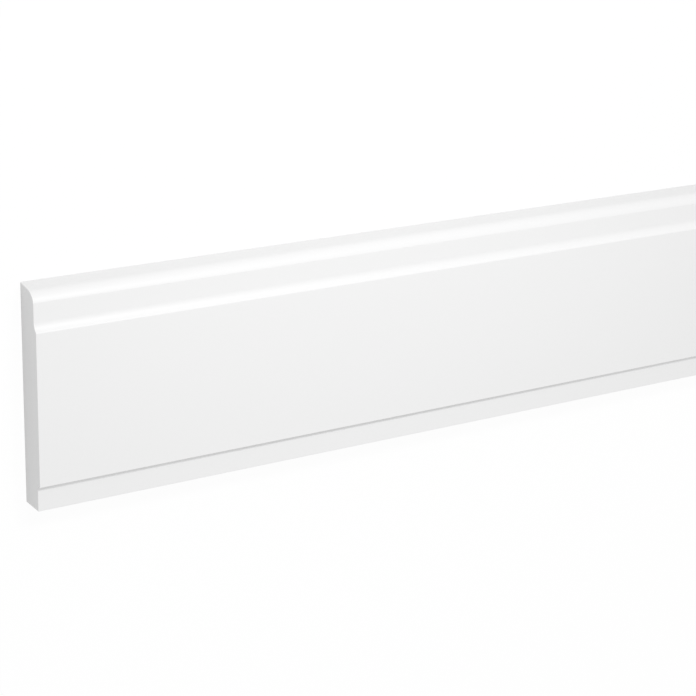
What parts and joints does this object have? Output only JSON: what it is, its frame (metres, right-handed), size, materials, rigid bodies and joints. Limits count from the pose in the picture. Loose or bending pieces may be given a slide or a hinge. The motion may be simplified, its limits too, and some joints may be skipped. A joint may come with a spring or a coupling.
{
  "type": "skirting board moulding",
  "caption": "Straight length of white skirting moulding with a rounded top edge, an ogee step to a flat field and a set-back strip along the floor.",
  "frame": {"origin": "under the middle of the board, on the surface that it lies on", "axes": "+X along the length, +Y towards the moulded top edge, +Z out of the decorated face, which looks up"},
  "size_m": [2, 0.12, 0.018],
  "materials": {
    "white_polymer": "white primed satin face, sawn ends"
  },
  "bodies": {
    "root": {"skirting_board": "white_polymer"}
  },
  "joints": []
}
